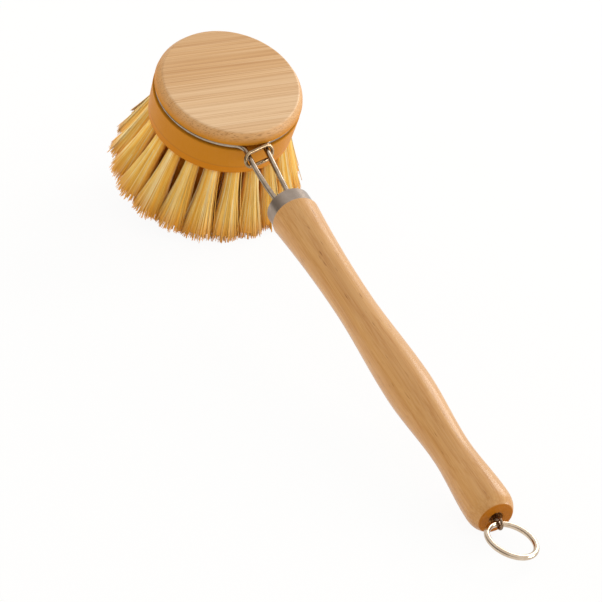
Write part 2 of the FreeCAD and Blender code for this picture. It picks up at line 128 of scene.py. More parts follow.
def turned_run(start, finish, steps):
    """Points on a cubic from one turned diameter to the next, without the last, sloped as given at both."""
    (low, low_radius, low_slope), (high, high_radius, high_slope) = start, finish
    length = high - low
    run = []
    for step in range(steps):
        t = step / steps
        radius = (2 * t**3 - 3 * t**2 + 1) * low_radius + (3 * t**2 - 2 * t**3) * high_radius
        radius += length * ((t**3 - 2 * t**2 + t) * low_slope + (t**3 - t**2) * high_slope)
        run.append((radius, low + length * t, 0.0))
    return run


handle_outline = [
    (0.0, SPIGOT_FRONT, 0.0),
    (SPIGOT_RADIUS, SPIGOT_FRONT, SPIGOT_EASE),
    (SPIGOT_RADIUS, SHOULDER_STATION, 0.0),
]
shoulder = len(handle_outline)
for start, finish in zip(TURNED_STATIONS, TURNED_STATIONS[1:]):
    is_last = finish is TURNED_STATIONS[-1]
    steps = LAST_STEPS if is_last else round((finish[0] - start[0]) / STATION_STEP)
    handle_outline += turned_run(start, finish, steps)
shoulder_radius = TURNED_STATIONS[0][1]
handle_outline[shoulder] = (shoulder_radius, SHOULDER_STATION, SHOULDER_EASE)
end_station, end_radius, _ = TURNED_STATIONS[-1]
handle_outline += [
    (end_radius, end_station, END_EASE),
    (RECESS_RADIUS, end_station, RECESS_EASE),
    (RECESS_RADIUS, end_station - RECESS_DEPTH, RECESS_EASE),
    (0.0, end_station - RECESS_DEPTH, 0.0),
]
handle = turned("turned_handle", eased(handle_outline), laid(HANDLE_FRONT, HANDLE_TILT), HANDLE_SIDES)


def paint(red, green, blue):
    """A colour by its 0 to 255 values on screen, as the linear values that the shader mixes."""
    shares = [value / 255 for value in (red, green, blue)]
    linear = [((s + 0.055) / 1.055) ** 2.4 if s > 0.04045 else s / 12.92 for s in shares]
    return (*linear, 1.0)


def fill(tree, node, inputs):
    """Fills or links the inputs of a node by name or by number."""
    for key, value in inputs.items():
        named = [socket for socket in node.inputs if socket.enabled and socket.name == key]
        socket = named[0] if named else node.inputs[key]
        if isinstance(value, bpy.types.NodeSocket):
            tree.links.new(value, socket)
        else:
            socket.default_value = value


def add(tree, kind, inputs=None, **settings):
    """Adds a node, sets its options, and fills or links its inputs."""
    node = tree.nodes.new(kind)
    for option, value in settings.items():
        setattr(node, option, value)
    fill(tree, node, inputs or {})
    return node


def out(node, name=None):
    """The output in use of a node, by its name where it has more than one."""
    return [s for s in node.outputs if s.enabled and name in (None, s.name)][0]


def calc(tree, operation, *values):
    """One step of arithmetic on values or sockets."""
    return out(add(tree, "ShaderNodeMath", dict(enumerate(values)), operation=operation))


def vector_calc(tree, operation, *values):
    """One step of vector arithmetic on values or sockets."""
    return out(add(tree, "ShaderNodeVectorMath", dict(enumerate(values)), operation=operation))


def ranged(tree, value, start, end, to_start=0.0, to_end=1.0):
    """A value taken from one range to another and held inside it."""
    inputs = {"Value": value, "From Min": start, "From Max": end, "To Min": to_start, "To Max": to_end}
    return out(add(tree, "ShaderNodeMapRange", inputs))


def mixed(tree, amount, first, second):
    """One colour going over to another."""
    inputs = {"Factor": amount, "A": first, "B": second}
    return out(add(tree, "ShaderNodeMix", inputs, data_type="RGBA"))


def layered(tree, ground, *layers):
    """Lays colours over a ground one after another, each by its own amount."""
    for amount, colour in layers:
        ground = mixed(tree, amount, ground, colour)
    return ground


def noise(tree, vector, detail, roughness=0.5, distortion=0.0):
    """A noise of unit size, from 0 to 1."""
    inputs = {"Vector": vector, "Scale": 1.0, "Detail": detail}
    inputs |= {"Roughness": roughness, "Distortion": distortion}
    return out(add(tree, "ShaderNodeTexNoise", inputs), "Fac")


def bumped(tree, height, strength, distance):
    """A surface direction that follows a height, whose full rise is a distance in mm."""
    inputs = {"Strength": strength, "Distance": distance * MM, "Height": height}
    return out(add(tree, "ShaderNodeBump", inputs))


def stretched(tree, vector, width, length):
    """Coordinates in which a unit is a width across the grain and a length along it."""
    across = calc(tree, "DIVIDE", 1.0, width)
    along = calc(tree, "DIVIDE", 1.0, length)
    scale = out(add(tree, "ShaderNodeCombineXYZ", {"X": across, "Y": across, "Z": along}))
    return vector_calc(tree, "MULTIPLY", vector, scale)


def group_of(name, kind, inputs, outputs):
    """An empty node group with named sockets, its input node and its output node."""
    group = bpy.data.node_groups.new(name, kind)
    for label, socket_type, value in inputs:
        socket = group.interface.new_socket(label, in_out="INPUT", socket_type=socket_type)
        if value is not None:
            socket.default_value = value
    for label, socket_type in outputs:
        group.interface.new_socket(label, in_out="OUTPUT", socket_type=socket_type)
    return group, group.nodes.new("NodeGroupInput"), group.nodes.new("NodeGroupOutput")


def placed(tree, group, vector, **sizes):
    """Places a shared group in a material, with the sizes that this material needs."""
    node = add(tree, "ShaderNodeGroup", node_tree=group)
    tree.links.new(vector, node.inputs["Vector"])
    for label, value in sizes.items():
        node.inputs[label.replace("_", " ").title()].default_value = value
    return node


def finish_of(name):
    """A new material with its node tree and its Principled shader."""
    material = bpy.data.materials.new(name)
    material.use_nodes = True
    return material, material.node_tree, material.node_tree.nodes["Principled BSDF"]


def own_place(tree, place, turn=(0.0, 0.0, 0.0)):
    """The piece's own coordinates in mm, centred on a point of the scene and turned with the piece."""
    position = out(add(tree, "ShaderNodeTexCoord"), "Object")
    inputs = {"Vector": position, "Location": place * MM, "Rotation": turn, "Scale": (MM, MM, MM)}
    return out(add(tree, "ShaderNodeMapping", inputs, vector_type="TEXTURE"))


# Grain of timber and bamboo alike, running along Z: broad streaks, fine fibre lines and short dark flecks
FIBRE_PER_STREAK_LENGTH = 0.5
FLECK_PER_FIBRE_WIDTH = 1.6
RAREST_FLECK = 0.82
FLECK_COVERING = 0.3
FLECK_SOFTNESS = 0.09
grain_group, grain_in, grain_out = group_of(
    "long_grain",
    "ShaderNodeTree",
    (
        ("Vector", "NodeSocketVector", None),
        ("Streak Width", "NodeSocketFloat", 2.0),
        ("Streak Length", "NodeSocketFloat", 60.0),
        ("Fibre Width", "NodeSocketFloat", 0.35),
        ("Fleck Length", "NodeSocketFloat", 6.0),
        ("Fleck Cover", "NodeSocketFloat", 0.3),
    ),
    (("Streak", "NodeSocketFloat"), ("Fibre", "NodeSocketFloat"), ("Fleck", "NodeSocketFloat")),
)
grain_sizes = grain_in.outputs
grain_vector = grain_sizes["Vector"]
streak_length = grain_sizes["Streak Length"]
streak_room = stretched(grain_group, grain_vector, grain_sizes["Streak Width"], streak_length)
streak = noise(grain_group, streak_room, detail=3.0, roughness=0.55, distortion=0.35)
streak = ranged(grain_group, streak, start=0.3, end=0.7)
fibre_width = grain_sizes["Fibre Width"]
fibre_length = calc(grain_group, "MULTIPLY", streak_length, FIBRE_PER_STREAK_LENGTH)
fibre_room = stretched(grain_group, grain_vector, fibre_width, fibre_length)
fibre = noise(grain_group, fibre_room, detail=2.0, roughness=0.6)
fibre = ranged(grain_group, fibre, start=0.28, end=0.72)
fleck_width = calc(grain_group, "MULTIPLY", fibre_width, FLECK_PER_FIBRE_WIDTH)
fleck_room = stretched(grain_group, grain_vector, fleck_width, grain_sizes["Fleck Length"])
fleck_cover = calc(grain_group, "MULTIPLY", grain_sizes["Fleck Cover"], FLECK_COVERING)
fleck_edge = calc(grain_group, "SUBTRACT", RAREST_FLECK, fleck_cover)
fleck_full = calc(grain_group, "ADD", fleck_edge, FLECK_SOFTNESS)
fleck = ranged(grain_group, noise(grain_group, fleck_room, detail=1.0), fleck_edge, fleck_full)
fill(grain_group, grain_out, {"Streak": streak, "Fibre": fibre, "Fleck": fleck})

WOOD_TONE = paint(201, 149, 86)
WOOD_PALE = paint(220, 176, 118)
WOOD_STREAK = paint(180, 123, 60)
WOOD_FLECK = paint(138, 84, 36)
WOOD_END_GRAIN_AND_SHADE = paint(172, 100, 0)
PALE_SHARE = 0.45
FLECK_SHARE = 0.75
END_SHARE = 0.92
# The end grain starts and is full at these depths from the end face, and drinks up most of the varnish; its
# dark colour on the end face is partly painted shade
END_GRAIN_STARTS = 0.25
END_GRAIN_FULL = 0.05
VARNISH = 0.42
VARNISH_DRUNK = 0.37
WOOD_SPECULAR = 0.18
WOOD_SPECULAR_LOST = 0.1
GRAIN_BUMP = 0.12
GRAIN_DEPTH = 0.2
varnished_wood, wood, wood_shader = finish_of("varnished_wood")
wood_place = own_place(wood, HANDLE_FRONT, (0.0, HANDLE_TILT, 0.0))
wood_grain = placed(
    wood,
    grain_group,
    wood_place,
    streak_width=1.7,
    streak_length=80.0,
    fibre_width=0.35,
    fleck_length=7.0,
    fleck_cover=0.42,
)
wood_fibre = wood_grain.outputs["Fibre"]
wood_station = out(add(wood, "ShaderNodeSeparateXYZ", {"Vector": wood_place}), "Z")
end_grain = ranged(wood, wood_station, end_station - END_GRAIN_STARTS, end_station - END_GRAIN_FULL)
wood_colour = layered(
    wood,
    WOOD_STREAK,
    (wood_grain.outputs["Streak"], WOOD_TONE),
    (calc(wood, "MULTIPLY", wood_fibre, PALE_SHARE), WOOD_PALE),
    (calc(wood, "MULTIPLY", wood_grain.outputs["Fleck"], FLECK_SHARE), WOOD_FLECK),
    # End face: the end grain's own darker tone, partly painted shade
    (calc(wood, "MULTIPLY", end_grain, END_SHARE), WOOD_END_GRAIN_AND_SHADE),
)
varnish_drunk = calc(wood, "MULTIPLY", end_grain, VARNISH_DRUNK)
specular_lost = calc(wood, "MULTIPLY", end_grain, WOOD_SPECULAR_LOST)
fill(
    wood,
    wood_shader,
    {
        "Base Color": wood_colour,
        "Roughness": ranged(wood, wood_fibre, 0, 1, to_start=0.44, to_end=0.36),
        "Normal": bumped(wood, wood_fibre, GRAIN_BUMP, GRAIN_DEPTH),
        "Coat Weight": calc(wood, "SUBTRACT", VARNISH, varnish_drunk),
        "Specular IOR Level": calc(wood, "SUBTRACT", WOOD_SPECULAR, specular_lost),
        "Coat Roughness": 0.22,
    },
)
handle.data.materials.append(varnished_wood)
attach(handle, "handle")
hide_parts("handle")

# Ferrule. A short cap drawn from mild steel sheet and plated matt grey, pressed over the spigot.
# Its front is pierced for the two wire legs, and its rear edge stops against the wooden shoulder.
SCUFF_STRETCH = 9.0
SCUFF_BUMP = 0.08
SCUFF_DEPTH = 0.05


def dressed(node, material):
    """Gives a CAD node, whose shape is right as it is, its finished material."""
    slots = frame["nodes"][node].data.materials
    for index in range(len(slots)):
        slots[index] = material


# Steel alike: handling haze in soft clouds, and fine scuffs that catch the light
steel_group, steel_in, steel_out = group_of(
    "handled_steel",
    "ShaderNodeTree",
    (
        ("Vector", "NodeSocketVector", None),
        ("Haze Size", "NodeSocketFloat", 2.0),
        ("Scuff Size", "NodeSocketFloat", 0.2),
    ),
    (("Haze", "NodeSocketFloat"), ("Scuff", "NodeSocketFloat")),
)
steel_vector = steel_in.outputs["Vector"]
haze_width = steel_in.outputs["Haze Size"]
haze_room = stretched(steel_group, steel_vector, haze_width, haze_width)
haze = noise(steel_group, haze_room, detail=4.0, roughness=0.6, distortion=0.5)
haze = ranged(steel_group, haze, start=0.3, end=0.7)
scuff_width = steel_in.outputs["Scuff Size"]
scuff_length = calc(steel_group, "MULTIPLY", scuff_width, SCUFF_STRETCH)
scuff_room = stretched(steel_group, steel_vector, scuff_width, scuff_length)
scuff = noise(steel_group, scuff_room, detail=2.0, roughness=0.7, distortion=0.2)
scuff = ranged(steel_group, scuff, start=0.3, end=0.7)
fill(steel_group, steel_out, {"Haze": haze, "Scuff": scuff})


def steel_finish(name, tone, dull, roughness, haze_size, scuff_size):
    """A steel whose tone and roughness vary with its haze, with a fine scuffed surface."""
    material, tree, shader = finish_of(name)
    own = own_place(tree, HANDLE_FRONT, (0.0, HANDLE_TILT, 0.0))
    worn = placed(tree, steel_group, own, haze_size=haze_size, scuff_size=scuff_size)
    looks = {
        "Base Color": mixed(tree, worn.outputs["Haze"], tone, dull),
        "Roughness": ranged(tree, worn.outputs["Haze"], 0, 1, *roughness),
        "Normal": bumped(tree, worn.outputs["Scuff"], SCUFF_BUMP, SCUFF_DEPTH),
        "Metallic": 1.0,
    }
    fill(tree, shader, looks)
    return material


matt_plate = steel_finish(
    "matt_plate",
    tone=paint(164, 149, 136),
    dull=paint(150, 135, 122),
    roughness=(0.26, 0.38),
    haze_size=3.0,
    scuff_size=0.25,
)
dressed("ferrule", matt_plate)

# Head wire. One length of bright spring wire, bent into the open loop that lies in the groove of the head,
# with two legs that run through the ferrule and are held in the wood of the handle.
spring_wire = steel_finish(
    "spring_wire",
    tone=paint(180, 163, 143),
    dull=paint(146, 128, 108),
    roughness=(0.08, 0.18),
    haze_size=2.5,
    scuff_size=0.15,
)
dressed("head_wire", spring_wire)

# Lock ring. An oval link of thinner bright wire, bent shut round both legs.
# Pushed up to the head, it keeps the loop from opening.
link_wire = steel_finish(
    "link_wire",
    tone=paint(176, 150, 116),
    dull=paint(140, 115, 86),
    roughness=(0.1, 0.2),
    haze_size=1.5,
    scuff_size=0.12,
)
dressed("lock_ring", link_wire)

# Head block. A disc of laminated bamboo, turned with a bevelled top, a groove for the wire loop and a
# slightly tapered skirt, then oiled. The strips run across the brush, and the turned walls are darker:
# partly their own tone and partly painted shade.
head_turn = [joint for joint in frame["joints"] if joint["name"] == "head_turn"][0]
HEAD_CENTRE = Vector(head_turn["pos_m"]) / MM
HEAD_TILT = math.atan2(head_turn["axis"][0], head_turn["axis"][2])
HEAD_SIDES = 144
HEAD_FOOT = -13.5
FOOT_LINE = -10.3
HEAD_TOP = 4.2
RIM_RADIUS = 24.5
GROOVE_RADIUS = 22.0
GROOVE_FOOT = -2.3
# Corners of the block: radius, height from the underside of the flange, easing
HEAD_CORNERS = (
    (0.0, HEAD_FOOT, 0.0),
    (23.9, HEAD_FOOT, 0.4),
    (24.2, FOOT_LINE, 0.5),
    (RIM_RADIUS, GROOVE_FOOT, 0.35),
    (GROOVE_RADIUS, GROOVE_FOOT, 0.2),
    (GROOVE_RADIUS, 0.0, 0.2),
    (RIM_RADIUS, 0.0, 0.35),
    (24.1, 2.0, 0.8),
    (22.5, HEAD_TOP, 0.4),
    (0.0, HEAD_TOP, 0.0),
)
head_block = turned("bamboo_head", eased(HEAD_CORNERS), laid(HEAD_CENTRE, HEAD_TILT), HEAD_SIDES)

BAMBOO_TONE = paint(211, 166, 113)
BAMBOO_PALE = paint(228, 195, 154)
BAMBOO_LINE = paint(172, 119, 64)
# Bevel and skirt: the walls' own deeper tone, partly painted shade
BAMBOO_BEVEL_TONE_AND_SHADE = paint(204, 151, 88)
BAMBOO_SKIRT_TONE_AND_SHADE = paint(194, 124, 4)
BAMBOO_FOOT = paint(200, 122, 0)
BAMBOO_PORE = paint(146, 94, 42)
BEVEL_SHARE = 0.7
SKIRT_SHARE = 0.92
# Depths under the top at which the tone of the bevel starts and is full, and how softly the foot's starts
BEVEL_STARTS = 0.08
BEVEL_FULL = 0.5
FOOT_SOFTNESS = 0.1
STRIP_WIDTH = 4.6
STRIP_LINE = 0.03
STRIP_LINE_SHARE = 0.3
STRIP_VARIETY = 0.3
PORE_WIDTH = 0.36
PORE_LENGTH = 2.0
# How much slower the tone changes up the block than across its strips
UPRIGHT_LAYERS = 0.12
oiled_bamboo, bamboo, bamboo_shader = finish_of("oiled_bamboo")
bamboo_place = own_place(bamboo, HEAD_CENTRE, (math.radians(90.0), HEAD_TILT, 0.0))
bamboo_layers = vector_calc(bamboo, "MULTIPLY", bamboo_place, (1.0, UPRIGHT_LAYERS, 1.0))
bamboo_grain = placed(
    bamboo, grain_group, bamboo_layers, streak_width=0.9, streak_length=160.0, fibre_width=0.28
)
bamboo_fibre = bamboo_grain.outputs["Fibre"]
bamboo_split = add(bamboo, "ShaderNodeSeparateXYZ", {"Vector": bamboo_place})
across_strips = out(bamboo_split, "X")
up_block = out(bamboo_split, "Y")

# Strips, each of its own tone and made paler towards the near side by painted light, with hair lines along
# them and thin lines between
strip_run = calc(bamboo, "DIVIDE", across_strips, STRIP_WIDTH)
strip_number = {"W": calc(bamboo, "FLOOR", strip_run)}
strip_tone = out(add(bamboo, "ShaderNodeTexWhiteNoise", strip_number, noise_dimensions="1D"), "Value")
in_strip = calc(bamboo, "COMPARE", calc(bamboo, "FRACT", strip_run), 0.5, 0.5 - STRIP_LINE)
# Painted light: the strips grow paler towards the near side
painted_near_light = ranged(bamboo, across_strips, start=-4.0, end=8.0, to_end=0.4)
strip_tone_and_painted_light = calc(bamboo, "ADD", calc(bamboo, "MULTIPLY", strip_tone, STRIP_VARIETY), painted_near_light)
strip_line = calc(bamboo, "MULTIPLY", calc(bamboo, "SUBTRACT", 1.0, in_strip), STRIP_LINE_SHARE)
strip_colour = layered(
    bamboo,
    BAMBOO_LINE,
    (ranged(bamboo, bamboo_grain.outputs["Streak"], 0, 1, to_start=0.45), BAMBOO_TONE),
    (strip_tone_and_painted_light, BAMBOO_PALE),
    (ranged(bamboo, bamboo_fibre, start=0.4, end=0.1, to_end=0.7), BAMBOO_LINE),
    (ranged(bamboo, bamboo_fibre, start=0.6, end=0.9, to_end=0.6), BAMBOO_PALE),
    (strip_line, BAMBOO_LINE),
)

# Turned walls: the bevel with its open pores, the skirt, and the line round it above the foot. The deeper
# tone of the bevel and the skirt is partly painted shade
bevel_mask = ranged(bamboo, up_block, HEAD_TOP - BEVEL_STARTS, HEAD_TOP - BEVEL_FULL)
skirt_mask = ranged(bamboo, up_block, start=3.2, end=0.7)
foot_mask = ranged(bamboo, up_block, FOOT_LINE + FOOT_SOFTNESS, FOOT_LINE - FOOT_SOFTNESS, to_end=0.6)
from_foot_line = calc(bamboo, "ABSOLUTE", calc(bamboo, "SUBTRACT", up_block, FOOT_LINE))
foot_line_mask = ranged(bamboo, from_foot_line, start=0.4, end=0.1, to_end=0.3)
pores = noise(bamboo, stretched(bamboo, bamboo_place, PORE_WIDTH, PORE_LENGTH), detail=1.0)
pore_mask = ranged(bamboo, pores, start=0.53, end=0.68, to_end=0.55)
bevel_band = calc(bamboo, "MULTIPLY", bevel_mask, ranged(bamboo, up_block, start=0.8, end=2.2))
bamboo_colour = layered(
    bamboo,
    strip_colour,
    (calc(bamboo, "MULTIPLY", bevel_mask, BEVEL_SHARE), BAMBOO_BEVEL_TONE_AND_SHADE),
    (calc(bamboo, "MULTIPLY", skirt_mask, SKIRT_SHARE), BAMBOO_SKIRT_TONE_AND_SHADE),
    (foot_mask, BAMBOO_FOOT),
    (foot_line_mask, BAMBOO_PORE),
    (calc(bamboo, "MULTIPLY", pore_mask, bevel_band), BAMBOO_PORE),
)
fill(
    bamboo,
    bamboo_shader,
    {
        "Base Color": bamboo_colour,
        "Roughness": ranged(bamboo, bamboo_fibre, 0, 1, to_start=0.5, to_end=0.42),
        "Normal": bumped(bamboo, bamboo_fibre, GRAIN_BUMP, GRAIN_DEPTH),
        "Specular IOR Level": ranged(bamboo, up_block, start=0.5, end=2.6, to_start=0.1, to_end=0.4),
    },
)
head_block.data.materials.append(oiled_bamboo)
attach(head_block, "head")
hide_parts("head_block")

# Tuft staples. Flat bits of plated wire, cut and bent by the filling machine.
# Each is driven across the bottom of its hole with the tuft folded over it.
anchor_wire = steel_finish(
    "anchor_wire",
    tone=paint(190, 184, 176),
    dull=paint(160, 152, 144),
    roughness=(0.35, 0.5),
    haze_size=1.5,
    scuff_size=0.2,
)
dressed("tuft_staples", anchor_wire)

# Tufts. Bundles of stiff plant fibre, each folded double over a staple in a blind hole, so that they stand
# close together at the mouth, fan out towards the floor, and are trimmed to a slightly uneven length.
TUFT_LENGTH = 26.6
TUFT_ROOT_RADIUS = 2.15
ROOT_DEPTH = 1.5
OUTER_LEAN = 17.0
OUTER_RADIUS = 21.0
# How far a tuft's lean and bearing stray, in degrees
LEAN_STRAY = 1.2
SWAY_STRAY = 1.5
FIBRE_RADIUS = 0.16
FIBRE_SIDES = 3
FIBRE_POINTS = 6
CORE_SIDES = 14
TUFT_SEED = 7
ROW_SEED_STEP = 20
# Rows: name, tufts, share of the outer row's radius and lean, tip radius, fibres in a tuft, tone shift
# (below zero: painted shade for the inner rows)
TUFT_ROWS = (
    ("outer", 20, 1.0, 4.5, 280, 0.0),
    ("middle", 14, 2 / 3, 4.2, 200, -1.4),
    ("inner", 7, 1 / 3, 4.0, 180, -1.4),
    ("centre", 1, 0.0, 3.8, 180, -1.4),
)
# Crowding of the fibres at the surface of a tuft, where a lower power crowds them more
CROWDING_POWER = 0.24
STRAY_OUT = 0.3
SHORTEST_TRIM = -1.6
LONGEST_TRIM = 0.6
# How late along its length a tuft fans out, widens along its row, and lets its fibres wander
FAN_POWER = 1.5
WIDENS_FROM = 0.3
WANDER_POWER = 2.0
TIP_TAPER = 0.75
CORE_TONE = 0.5
# Lowest corner that a fibre may reach: only its height counts, just off the ground
LOWEST = (-1.0, -1.0, 0.00005)


def tuft_mouths(name, count, share, draw):
    """Loose points at the mouths of a row's holes, each with the direction and the side of its tuft."""
    place = laid(HEAD_CENTRE, HEAD_TILT)
    turn = place.to_quaternion()
    radius = share * OUTER_RADIUS
    points, leans, sides = [], [], []
    for index in range(count):
        bearing = math.radians(360 / count * (index + 0.5))
        lean = math.radians(share * OUTER_LEAN + draw.uniform(-LEAN_STRAY, LEAN_STRAY))
        sway = math.radians(draw.uniform(-SWAY_STRAY, SWAY_STRAY))
        outwards = Vector((math.cos(bearing + sway), math.sin(bearing + sway), 0.0))
        lean_way = Vector((0, 0, -math.cos(lean))) + outwards * math.sin(lean)
        side = Vector((-math.sin(bearing + sway), math.cos(bearing + sway), 0.0))
        mouth = Vector((radius * math.cos(bearing), radius * math.sin(bearing), HEAD_FOOT))
        points.append(place @ mouth)
        leans.append(turn @ lean_way)
        sides.append(turn @ side)
    mesh = bpy.data.meshes.new(name)
    mesh.from_pydata(points, [], [])
    for label, vectors in (("lean_way", leans), ("lean_side", sides)):
        attribute = mesh.attributes.new(label, "FLOAT_VECTOR", "POINT")
        for item, vector in zip(attribute.data, vectors):
            item.vector = vector
    piece = bpy.data.objects.new(name, mesh)
    bpy.context.collection.objects.link(piece)
    return piece


# Inputs without a value are given by each row
tuft_tree, tuft_in, tuft_out = group_of(
    "fanned_tufts",
    "GeometryNodeTree",
    (
        ("Mouths", "NodeSocketGeometry", None),
        ("Fibres", "NodeSocketInt", None),
        ("Fibre Radius", "NodeSocketFloat", FIBRE_RADIUS * MM),
        ("Root Radius", "NodeSocketFloat", TUFT_ROOT_RADIUS * MM),
        ("Tip Radius", "NodeSocketFloat", None),
        ("Side Spread", "NodeSocketFloat", 1.2),
        ("Root Depth", "NodeSocketFloat", ROOT_DEPTH * MM),
        ("Length", "NodeSocketFloat", TUFT_LENGTH * MM),
        ("Uneven Trim", "NodeSocketFloat", 0.022),
        ("Stray Share", "NodeSocketFloat", 0.012),
        ("Wander", "NodeSocketFloat", 0.45 * MM),
        ("Tone Shift", "NodeSocketFloat", None),
        ("Bundle Shading", "NodeSocketFloat", 1.4),
        ("Core Share", "NodeSocketFloat", 0.86),
        ("Core Reach", "NodeSocketFloat", 0.92),
        ("Seed", "NodeSocketInt", None),
        ("Material", "NodeSocketMaterial", None),
    ),
    (("Tufts", "NodeSocketGeometry"),),
)
tuft_inputs = tuft_in.outputs


def chance(low, high, number):
    """A random value for each fibre, from the tree's own seed. Each use has a number of its own."""
    seed = calc(tuft_tree, "ADD", tuft_inputs["Seed"], number)
    inputs = {"Min": low, "Max": high, "Seed": seed}
    return out(add(tuft_tree, "FunctionNodeRandomValue", inputs, data_type="FLOAT"))


def noted(geometry, label, value, data_type="FLOAT"):
    """Keeps a value of each point under a name."""
    inputs = {"Geometry": geometry, "Name": label, "Value": value}
    options = {"data_type": data_type, "domain": "POINT"}
    return out(add(tuft_tree, "GeometryNodeStoreNamedAttribute", inputs, **options))


def recalled(label, data_type="FLOAT"):
    """A value that was kept under a name."""
    node = add(tuft_tree, "GeometryNodeInputNamedAttribute", {"Name": label}, data_type=data_type)
    return out(node, "Attribute")


def scaled(vector, amount):
    """A vector times a value."""
    node = add(tuft_tree, "ShaderNodeVectorMath", {"Scale": amount}, operation="SCALE")
    tuft_tree.links.new(vector, node.inputs[0])
    return out(node)


def swept(line, sides, radius):
    """A closed round bar along a line."""
    ring = add(tuft_tree, "GeometryNodeCurvePrimitiveCircle", {"Resolution": sides, "Radius": radius})
    inputs = {"Curve": line, "Profile Curve": out(ring, "Curve"), "Fill Caps": True}
    return out(add(tuft_tree, "GeometryNodeCurveToMesh", inputs))


# One straight fibre of unit length, and a foot for each fibre of each tuft
position = out(add(tuft_tree, "GeometryNodeInputPosition"))
fibre_line = add(tuft_tree, "GeometryNodeCurvePrimitiveLine", {"Start": (0, 0, 0), "End": (0, 0, 1)})
fibre_line = add(tuft_tree, "GeometryNodeResampleCurve", {"Curve": out(fibre_line), "Count": FIBRE_POINTS})
fibre_form = swept(out(fibre_line), FIBRE_SIDES, tuft_inputs["Fibre Radius"])
fibre_form = noted(fibre_form, "section", position, "FLOAT_VECTOR")
fibre_feet = add(
    tuft_tree,
    "GeometryNodeDuplicateElements",
    {"Geometry": tuft_inputs["Mouths"], "Amount": tuft_inputs["Fibres"]},
    domain="POINT",
)
fibre_feet = noted(out(fibre_feet, "Geometry"), "mouth", position, "FLOAT_VECTOR")
around = chance(0.0, 2 * math.pi, 1)
is_stray = calc(tuft_tree, "LESS_THAN", chance(0.0, 1.0, 2), tuft_inputs["Stray Share"])
stray_out = calc(tuft_tree, "ADD", 1.0, calc(tuft_tree, "MULTIPLY", is_stray, STRAY_OUT))
outwards = calc(tuft_tree, "POWER", chance(0.0, 1.0, 3), CROWDING_POWER)
outwards = calc(tuft_tree, "MULTIPLY", outwards, stray_out)
offset_x = calc(tuft_tree, "MULTIPLY", outwards, calc(tuft_tree, "COSINE", around))
offset_y = calc(tuft_tree, "MULTIPLY", outwards, calc(tuft_tree, "SINE", around))
offset = add(tuft_tree, "ShaderNodeCombineXYZ", {"X": offset_x, "Y": offset_y})
fibre_feet = noted(fibre_feet, "offset", out(offset), "FLOAT_VECTOR")
trim = calc(tuft_tree, "MULTIPLY", chance(SHORTEST_TRIM, LONGEST_TRIM, 4), tuft_inputs["Uneven Trim"])
fibre_feet = noted(fibre_feet, "reach", calc(tuft_tree, "ADD", 1.0, trim))
fibre_tone = calc(tuft_tree, "ADD", chance(0.0, 1.0, 5), tuft_inputs["Tone Shift"])
fibre_feet = noted(fibre_feet, "fibre_tone", fibre_tone)
wander_way = {"X": chance(-1, 1, 6), "Y": chance(-1, 1, 7), "Z": chance(-1, 1, 8)}
wander = add(tuft_tree, "ShaderNodeCombineXYZ", wander_way)
fibre_feet = noted(fibre_feet, "wander", out(wander), "FLOAT_VECTOR")
fibres = add(tuft_tree, "GeometryNodeInstanceOnPoints", {"Points": fibre_feet, "Instance": fibre_form})

# The solid middle of a tuft, which the loose fibres at its surface lie against
core_form = swept(out(fibre_line), CORE_SIDES, tuft_inputs["Core Share"])
core_form = noted(core_form, "offset", position, "FLOAT_VECTOR")
core_height = out(add(tuft_tree, "ShaderNodeSeparateXYZ", {"Vector": position}), "Z")
core_line = add(tuft_tree, "ShaderNodeCombineXYZ", {"Z": core_height})
core_form = noted(core_form, "section", out(core_line), "FLOAT_VECTOR")
core_feet = noted(tuft_inputs["Mouths"], "mouth", position, "FLOAT_VECTOR")
core_feet = noted(core_feet, "reach", tuft_inputs["Core Reach"])
core_tone = calc(tuft_tree, "ADD", CORE_TONE, tuft_inputs["Tone Shift"])
core_feet = noted(core_feet, "fibre_tone", core_tone)
cores = add(tuft_tree, "GeometryNodeInstanceOnPoints", {"Points": core_feet, "Instance": core_form})
bundle = add(tuft_tree, "GeometryNodeJoinGeometry")
tuft_tree.links.new(out(fibres), bundle.inputs["Geometry"])
tuft_tree.links.new(out(cores), bundle.inputs["Geometry"])
fibres = add(tuft_tree, "GeometryNodeRealizeInstances", {"Geometry": out(bundle)})

# Every point goes to its depth along the tuft, and as far from the tuft's middle as the fan is wide there
section = add(tuft_tree, "ShaderNodeSeparateXYZ", {"Vector": recalled("section", "FLOAT_VECTOR")})
split_offset = add(tuft_tree, "ShaderNodeSeparateXYZ", {"Vector": recalled("offset", "FLOAT_VECTOR")})
along = out(section, "Z")
lean_way = recalled("lean_way", "FLOAT_VECTOR")
lean_side = recalled("lean_side", "FLOAT_VECTOR")
lean_cross = vector_calc(tuft_tree, "CROSS_PRODUCT", lean_way, lean_side)
fan = calc(tuft_tree, "POWER", along, FAN_POWER)
spread = ranged(tuft_tree, fan, 0.0, 1.0, tuft_inputs["Root Radius"], tuft_inputs["Tip Radius"])
widening = ranged(tuft_tree, along, WIDENS_FROM, 1.0, 1.0, tuft_inputs["Side Spread"])
side_spread = calc(tuft_tree, "MULTIPLY", spread, widening)
taper = ranged(tuft_tree, along, 0.0, 1.0, 1.0, TIP_TAPER)


def shifted(axis, width):
    """How far a point lies from the middle of its tuft: the place of its fibre, and its own in the fibre."""
    of_fibre = calc(tuft_tree, "MULTIPLY", out(split_offset, axis), width)
    in_fibre = calc(tuft_tree, "MULTIPLY", out(section, axis), taper)
    return calc(tuft_tree, "ADD", of_fibre, in_fibre)


